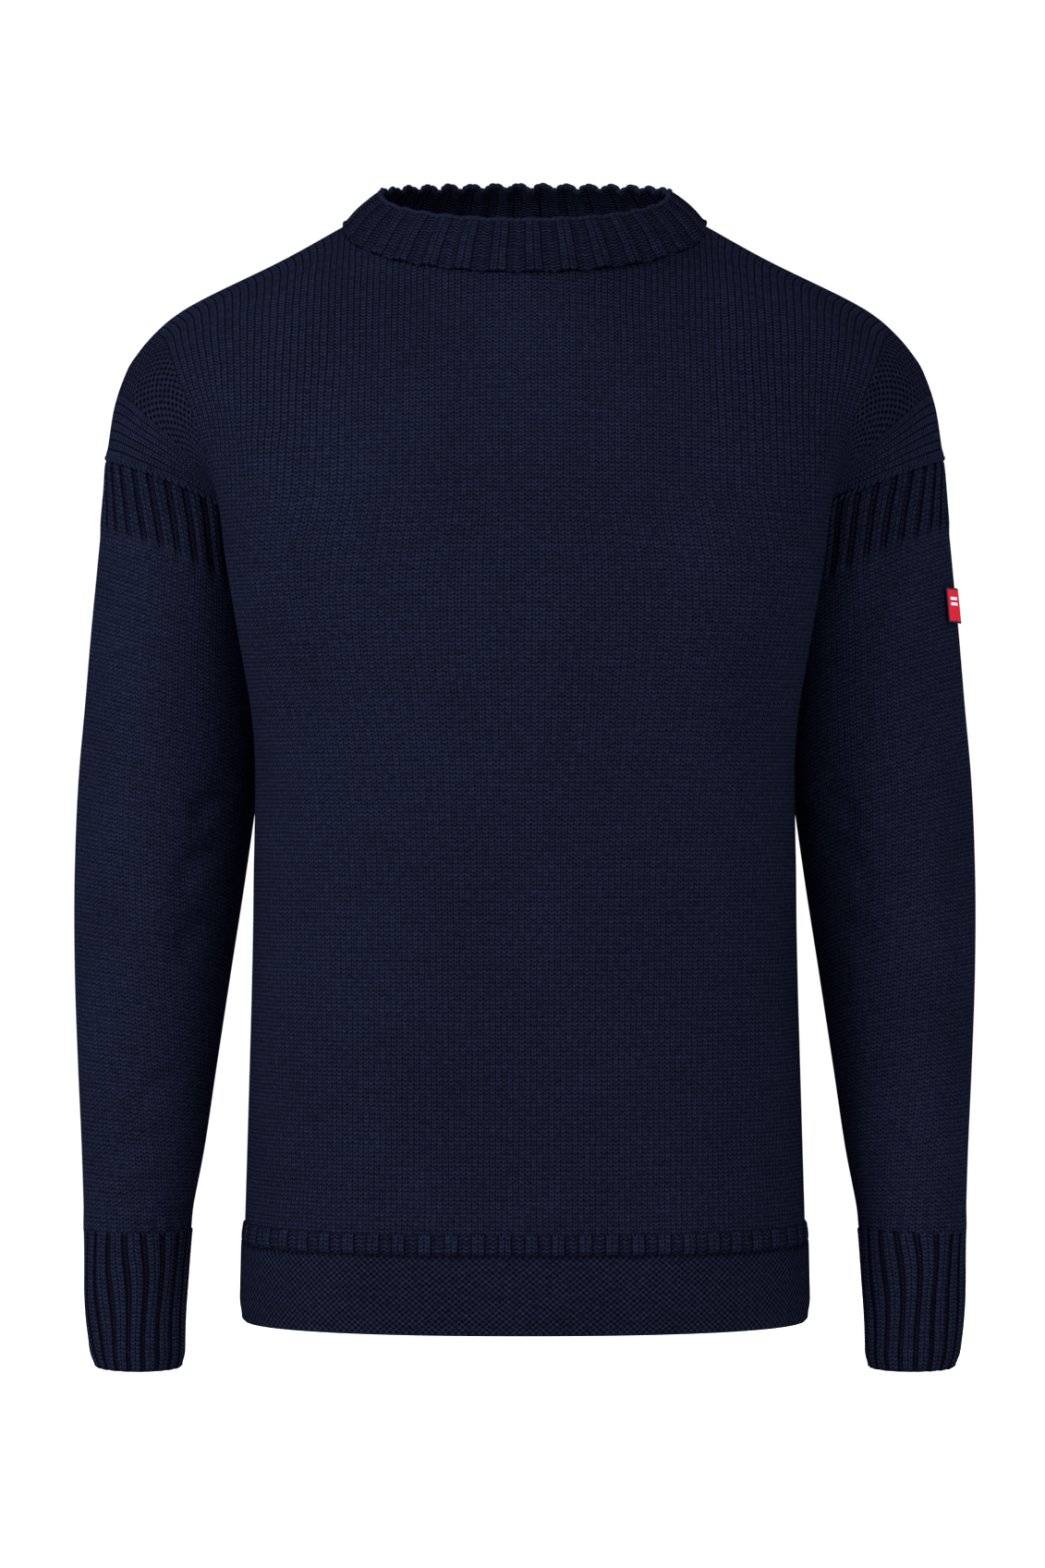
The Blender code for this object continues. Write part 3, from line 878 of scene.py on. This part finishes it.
def body_panel(back, count, rows):
    """A body panel as a fine grid, with its stitch counts."""
    neck = np.linspace(0, NECK_SHARE, NECK_COLUMNS + 1)
    shares = np.concatenate([neck, np.linspace(NECK_SHARE, 1, SIDE_COLUMNS + 1)[1:]])
    heights = np.linspace(WELT_TOP, ARMPIT, BODY_ROWS + 1)[:-1]
    rises = np.linspace(0, 1, YOKE_ROWS + 1)
    lower = np.stack([torso_half(height, back, shares) for height in heights])
    coarse = evened(whole(np.concatenate([lower, yoke_half(back, shares, rises)]), back), shares)
    knots = np.concatenate([-shares[:0:-1], shares])
    across = np.linspace(-1, 1, count)
    last = BODY_ROWS + YOKE_ROWS
    up = np.concatenate([np.linspace(0, BODY_ROWS, rows * 5 // 8)[:-1], np.linspace(BODY_ROWS, last, rows * 3 // 8)])
    fine = resampled(resampled(coarse, np.arange(last + 1.0), up, 0), knots, across, 1)

    out = np.abs(across)
    top = top_edge(back, out) * point(np.where(across < 0, -1, 1), 1, 1)
    top = top[::-1] if back else top
    fine += (top - fine[-1]) * smooth_step(up - last + 1)[:, None, None]
    side = armhole((-1 if back else 1) * math.pi * (1 - np.clip((up - BODY_ROWS) / YOKE_ROWS, 0, 1)))
    fade = smooth_step((out - 0.94) / 0.06)
    for edge, turn in ((0, 1 if back else -1), (-1, -1 if back else 1)):
        own = np.where((up >= BODY_ROWS)[:, None], side * [turn, 1, 1] - fine[:, edge], 0)
        near = fade * (np.arange(count) * (1 if edge else -1) > (count // 2) * (1 if edge else -1))
        fine += own[:, None] * near[None, :, None]
    rises = np.linalg.norm(np.diff(fine, axis=0), axis=-1)
    courses = np.concatenate([np.zeros((1, count)), np.cumsum(rises, axis=0)]) / COURSE
    wales = across * HALF_WALES
    level = fine[..., 0] * (-1 if back else 1) / WALE
    beyond = np.clip((out - NECK_SHARE) / (1 - NECK_SHARE), 0, 1)
    for side in (-1, 1):
        half = np.where(across * side >= 0)[0]
        reach = np.array([np.interp(NECK_SHARE, out[half][::side], row[half][::side] * side) for row in level])
        spread = np.where(out < NECK_SHARE, level * side, reach[:, None] + (HALF_WALES - reach[:, None]) * beyond)
        level[:, half] = side * spread[:, half]
    share = smooth_step((up - BODY_ROWS + 1.5) / 3)[:, None]
    wales = wales + (level - wales) * share
    stitches = np.stack(np.broadcast_arrays(wales, courses), axis=-1)
    return fine, stitches


def declare(piece, node):
    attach(piece, "root")
    if node:
        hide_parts(node)


class SWEATER_OT_body(Operator):
    """Knit the front and the back, with their moss-stitch strips"""

    bl_idname = "sweater.body"
    bl_label = "Body"

    def execute(self, context):
        wool = context.scene.sweater_wool
        material = wool_material("Body knit", body_pattern)
        for name, back, count, rows in (("front", False, 233, 196), ("back", True, 201, 168)):
            grid, stitches = body_panel(back, count, rows)
            normals = outward(grid)
            out = folded(grid, normals, BODY_FOLDS if not back else BODY_FOLDS[:0])
            across, up = np.abs(stitches[..., 0]), stitches[..., 1]
            out += 0.0006 * smooth_step((across - HALF_WALES + 1.2) / 0.8) * (up > BODY_COURSES)
            neck = smooth_step((HALF_WALES * NECK_SHARE + 1 - across) / 2)
            out -= 0.0014 * smooth_step((up - up[-1] + 2) / 1.5) * neck
            moved = grid + out[..., None] * normals
            piece = cloth_mesh(f"{name}_panel", moved, outward(moved), stitches, wool.thickness, material)
            declare(piece, f"body_{name}")
        return {"FINISHED"}


class SWEATER_OT_welts(Operator):
    """Knit the two welts, each a rib band above moss stitch, split at the sides"""

    bl_idname = "sweater.welts"
    bl_label = "Welts"

    def execute(self, context):
        wool = context.scene.sweater_wool
        material = wool_material("Welt knit", welt_pattern)
        levels = np.linspace(HEM - 0.004, WELT_TOP + 0.002, 8)
        for name, back in (("front", False), ("back", True)):
            half = np.linspace(0, 1, 136)
            sections = np.stack([torso_half(z, back, half) for z in levels])
            length = np.linalg.norm(np.diff(sections[-2], axis=0), axis=1).sum()
            from_side = (1 - half) * length
            slope = np.clip(WELT_CORNER - from_side, 0, WELT_CORNER)
            lift = (WELT_CORNER - np.sqrt(WELT_CORNER**2 - slope**2)) * 0.97
            rows = []
            shares = np.linspace(0, 1, 54)
            for t in shares:
                z = HEM + lift + (WELT_TOP - HEM - lift) * t
                spot = (z - levels[0]) / (levels[1] - levels[0])
                i = np.clip(spot.astype(int), 0, len(levels) - 2)
                share = (spot - i)[:, None]
                column = np.arange(len(half))
                rows.append(sections[i, column] * (1 - share) + sections[i + 1, column] * share)
            grid = whole(np.array(rows), back)
            normals = outward(grid)
            u = np.concatenate([-half[:0:-1], half]) * WELT_RIBS * 2
            v = (shares * (WELT_TOP - HEM) / 0.00256)[:, None]
            stitches = np.stack(np.broadcast_arrays(u, v), axis=-1)
            band = smooth_step((v - 18.3) / 0.8)
            rib = ribbed(u, WELT_SHARE)
            proud = 0.0014 * smooth_step(v / 4) * (1 - 0.6 * smooth_step((v - 20) / 4))
            groove = 0.0016 * np.exp(-(((v - 18.2) / 0.7) ** 2))
            flare = 0.0012 * smooth_step((np.abs(u) - WELT_RIBS * 2 + 5) / 5) * (1 - band)
            out = proud + band * rib * 0.0007 - groove + flare
            moved = grid + out[..., None] * normals
            gap = 0.0008 * (1 if back else -1)
            moved[:, [0, -1], 1] += gap
            piece = cloth_mesh(f"{name}_welt", moved, outward(moved), stitches, wool.thickness, material)
            declare(piece, f"welt_{name}")
        return {"FINISHED"}


class SWEATER_OT_collar(Operator):
    """Knit the ribbed collar and cast off its edge"""

    bl_idname = "sweater.collar"
    bl_label = "Collar"

    def execute(self, context):
        wool, trim = context.scene.sweater_wool, context.scene.sweater_trim
        material = wool_material("Collar knit", collar_pattern)
        quarter = np.linspace(0, math.pi / 2, 90)
        shares = neck_quarters(96)
        edges = []
        for ring in COLLAR_RINGS:
            fore, aft = collar_ring(ring, quarter), collar_ring(ring, math.pi - quarter)
            fore, aft = along_line(fore, shares), along_line(aft, shares)
            right = np.concatenate([fore, aft[-2::-1]])
            edges.append(np.concatenate([right, right[-2:0:-1] * [-1, 1, 1]]))
        lower, upper = edges
        behind = smooth_step(3.0 * lower[:, 1] / np.abs(lower[:, 1]).max() - 0.4)
        start = (0.02 - 0.12 * behind)[None, :, None]
        t = start + (1 - start) * np.linspace(0, 1, 40)[:, None, None]
        grid = lower + (upper - lower) * t
        normals = outward(grid, ring=True)
        count = grid.shape[1]
        u = np.arange(count) * (4 * COLLAR_RIBS / count)
        v = t[..., 0] * 16.0
        rib = ribbed(u, COLLAR_SHARE)
        around = 0.5 + 0.5 * grid[..., 1] / np.abs(grid[..., 1]).max()
        rise = smooth_step((t[..., 0] - 0.05) / 0.15)
        barrel = 0.0022 * np.sin(math.pi * np.clip(t[..., 0], 0, 1)) ** 0.8
        roll = 0.0014 * np.exp(-(((t[..., 0] - 0.07) / 0.06) ** 2)) * (1 + 0.6 * rib)
        out = barrel + roll + trim.rib_depth * (0.55 + 0.6 * around) * rib * rise
        moved = grid + out[..., None] * normals
        uneven = 1 + 0.35 * np.sin(u * 0.61 + 1.0) * np.sin(u * 0.23)
        scallop = (np.abs(np.cos((u - 1) * math.pi / 4)) ** 0.6 - 0.7) * uneven
        moved[..., 2] += 0.0034 * smooth_step(around * 2 - 0.75) * scallop * smooth_step((t[..., 0] - 0.6) / 0.4)
        stitches = np.stack(np.broadcast_arrays(u, v), axis=-1)
        piece = cloth_mesh("collar_rib", moved, outward(moved, ring=True), stitches, wool.thickness, material, ring=True)
        declare(piece, "collar")

        facing = outward(moved, ring=True)[-1]
        edge = moved[-1] - facing * wool.thickness * 0.3 + [0, 0, 0.0006]
        sizes = {"Pitch": trim.chain_pitch, "Length": trim.chain_pitch * 0.68, "Width": trim.chain_width / 2, "Lean": 0.30}
        chain = beaded("collar_chain", edge, unit(facing + [0, 0, 0.6]), sizes, seam_yarn())
        declare(chain, None)
        return {"FINISHED"}


class SWEATER_OT_sleeves(Operator):
    """Knit the sleeves, each with a rib band below its seam, and their ribbed cuffs"""

    bl_idname = "sweater.sleeves"
    bl_label = "Sleeves"

    def execute(self, context):
        wool, trim = context.scene.sweater_wool, context.scene.sweater_trim
        plain = wool_material("Sleeve knit", sleeve_pattern)
        cuffed = wool_material("Cuff knit", cuff_pattern)
        for side, name in ((1, "left"), (-1, "right")):
            turn = np.s_[:, ::side]
            count = 196
            angle = math.pi * (1 - 2 * np.arange(count) / count)
            t = np.linspace(0, 1, 142)[:, None]
            z = CUFF_TOP + (armhole_height(angle) - CUFF_TOP) * t
            grid = (arm_point(angle, z) * [side, 1, 1])[turn]
            normals = outward(grid, ring=True)
            v = t * SLEEVE_COURSES
            twist = side * 4.2 * np.clip((SLEEVE_COURSES - v) / 17, 0, 1) * np.clip(0.75 - 0.75 * normals[..., 1], 0, 1)
            u = np.arange(count) * (SLEEVE_WALES / count)
            girth = np.linalg.norm(np.diff(grid, axis=1), axis=-1).sum(axis=1, keepdims=True)
            fewer = 1 + (girth / girth[-1] - 1) * smooth_step((SLEEVE_COURSES - 19 - v) / 12)
            wales = SLEEVE_WALES / 2 + (u - SLEEVE_WALES / 2) * fewer + twist
            band = smooth_step((v - SLEEVE_COURSES + 19) / 5)
            rib = ribbed((u + twist) * 4 * SLEEVE_RIBS / SLEEVE_WALES, SLEEVE_SHARE)
            gather = np.cos(u * 4 * CUFF_RIBS / SLEEVE_WALES * math.pi / 2) * 0.0007 * (1 - smooth_step(v / 7))
            out = folded(grid, normals, SLEEVE_FOLDS, side) + band * (rib * 0.0011 - 0.0003) + gather
            out -= 0.0014 * smooth_step((v - SLEEVE_COURSES + 1.6) / 1.6)
            moved = grid + out[..., None] * normals
            stitches = np.stack(np.broadcast_arrays(wales, v), axis=-1)
            piece = cloth_mesh(
                f"{name}_sleeve", moved, outward(moved, ring=True), stitches, wool.thickness, plain, ring=True
            )
            declare(piece, f"sleeve_{name}")

            fine = math.pi * (1 - 2 * np.arange(150) / 150)
            path = armhole(fine) * [side, 1, 1]
            facing = arm_point(fine, armhole_height(fine)) - arm_point(fine, armhole_height(fine)).mean(axis=0)
            facing = unit(facing * [1, 1, 0]) * [side, 1, 1]
            sizes = {"Pitch": 0.0046, "Length": 0.0031, "Width": 0.0012, "Lean": 0.45 * side}
            seam = beaded(f"{name}_shoulder_seam", path, facing, sizes, seam_yarn())
            declare(seam, None)

            count = CUFF_RIBS * 10
            angle = math.pi * (1 - 2 * np.arange(count) / count)
            t = np.linspace(0, 1, 62)[:, None]
            z = CUFF_END + (CUFF_TOP - CUFF_END) * t
            grid = (arm_point(angle, np.broadcast_to(z, (62, count))) * [side, 1, 1])[turn]
            normals = outward(grid, ring=True)
            wander = 0.45 * np.sin(3.1 * t + 2 * angle) + 0.3 * np.sin(7.3 * t + 3 * angle + side)
            u = np.arange(count) * (4 * CUFF_RIBS / count) + wander
            v = np.broadcast_to(t * 34.0, (62, count))
            rib = ribbed(u, CUFF_SHARE)
            out = 0.0011 * rib + 0.0006 * np.sin(5 * t + angle) - 0.0018 * np.exp(-((t / 0.06) ** 2))
            moved = grid + out[..., None] * normals
            piece = cloth_mesh(
                f"{name}_cuff",
                moved,
                outward(moved, ring=True),
                np.stack([u, v], axis=-1),
                wool.thickness,
                cuffed,
                ring=True,
            )
            declare(piece, f"cuff_{name}")
        return {"FINISHED"}


class SWEATER_OT_label(Operator):
    """Sew a plain woven label on the left sleeve"""

    bl_idname = "sweater.label"
    bl_label = "Label"

    def execute(self, context):
        label = context.scene.sweater_label
        z = (label.top - label.height * np.linspace(1, 0, 15))[:, None]
        reach = label.width / float(read(ARM, "half_depth", label.top))
        angle = label.front - reach * np.linspace(0, 1, 25)
        under = arm_point(angle, z)
        normals = outward(under)
        outer = under + 0.0021 * normals
        stitches = np.stack(np.broadcast_arrays(np.linspace(0, 1, 25), np.linspace(0, 1, 15)[:, None]), axis=-1)
        piece = cloth_mesh("arm_label", outer, normals, stitches, 0.0010, label_material())
        declare(piece, "sleeve_label")
        return {"FINISHED"}


class SWEATER_OT_stage(Operator):
    """Set the floor, the lights and the camera"""

    bl_idname = "sweater.stage"
    bl_label = "Stage"

    def execute(self, context):
        stage = context.scene.sweater_stage
        context.scene.view_settings.view_transform = "Standard"
        mesh = bpy.data.meshes.new("studio_floor")
        reach = 30.0
        mesh.from_pydata(
            [(x * reach, y * reach, stage.floor) for x, y in ((-1, -1), (1, -1), (1, 1), (-1, 1))], [], [(0, 1, 2, 3)]
        )
        floor = bpy.data.objects.new("studio_floor", mesh)
        context.scene.collection.objects.link(floor)
        pale = bpy.data.materials.new("Studio floor")
        pale.use_nodes = True
        shader = pale.node_tree.nodes["Principled BSDF"]
        shader.inputs["Base Color"].default_value = (0.96, 0.96, 0.96, 1)
        shader.inputs["Roughness"].default_value = 0.95
        mesh.materials.append(pale)

        world = bpy.data.worlds.new("Studio")
        context.scene.world = world
        world.use_nodes = True
        world.node_tree.nodes["Background"].inputs["Color"].default_value = (1.0, 1.0, 1.0, 1)
        world.node_tree.nodes["Background"].inputs["Strength"].default_value = 1.07
        for name, place, size, power in (
            ("Key", (-2.3, -1.9, 1.2), 1.2, 120.0),
            ("Fill", (1.6, -2.3, 1.2), 2.0, 38.0),
            ("Back", (0.9, 2.9, 0.9), 2.2, 70.0),
        ):
            lamp = bpy.data.lights.new(name, "AREA")
            lamp.size, lamp.energy = size, power
            holder = bpy.data.objects.new(name, lamp)
            holder.location = place
            aim = Vector((0, 0, -0.35)) - holder.location
            holder.rotation_euler = aim.to_track_quat("-Z", "Y").to_euler()
            context.scene.collection.objects.link(holder)

        lens = bpy.data.cameras.new("Camera")
        lens.lens = stage.lens
        lens.sensor_width = 36
        lens.sensor_fit = "AUTO"
        camera = bpy.data.objects.new("Camera", lens)
        camera.location = (-0.0015, -stage.distance, stage.eye)
        camera.rotation_euler = (math.pi / 2, 0, 0)
        context.scene.collection.objects.link(camera)
        context.scene.camera = camera
        return {"FINISHED"}


class SWEATER_PT_panel(Panel):
    """Lists the sweater's settings and the steps that make it"""

    bl_idname = "SWEATER_PT_panel"
    bl_label = "Guernsey Sweater"
    bl_space_type = "VIEW_3D"
    bl_region_type = "UI"
    bl_category = "Sweater"

    def draw(self, context):
        for name, group in SETTINGS.items():
            box = self.layout.box()
            box.label(text=group.__name__.replace("Settings", ""))
            for field in group.__annotations__:
                box.prop(getattr(context.scene, name), field)
        for step in STEPS:
            self.layout.operator(step.bl_idname)


STEPS = (
    SWEATER_OT_stage,
    SWEATER_OT_body,
    SWEATER_OT_welts,
    SWEATER_OT_collar,
    SWEATER_OT_sleeves,
    SWEATER_OT_label,
)
CLASSES = (*SETTINGS.values(), *STEPS, SWEATER_PT_panel)


def register():
    for made in CLASSES:
        bpy.utils.register_class(made)
    for name, group in SETTINGS.items():
        setattr(bpy.types.Scene, name, PointerProperty(type=group))


def unregister():
    for name in SETTINGS:
        delattr(bpy.types.Scene, name)
    for made in reversed(CLASSES):
        bpy.utils.unregister_class(made)


def plain(corners):
    return [[float(x) for x in corner] for corner in corners]


def main():
    register()
    for step in STEPS:
        group, name = step.bl_idname.split(".")
        getattr(getattr(bpy.ops, group), name)()


if __name__ == "__main__":
    main()
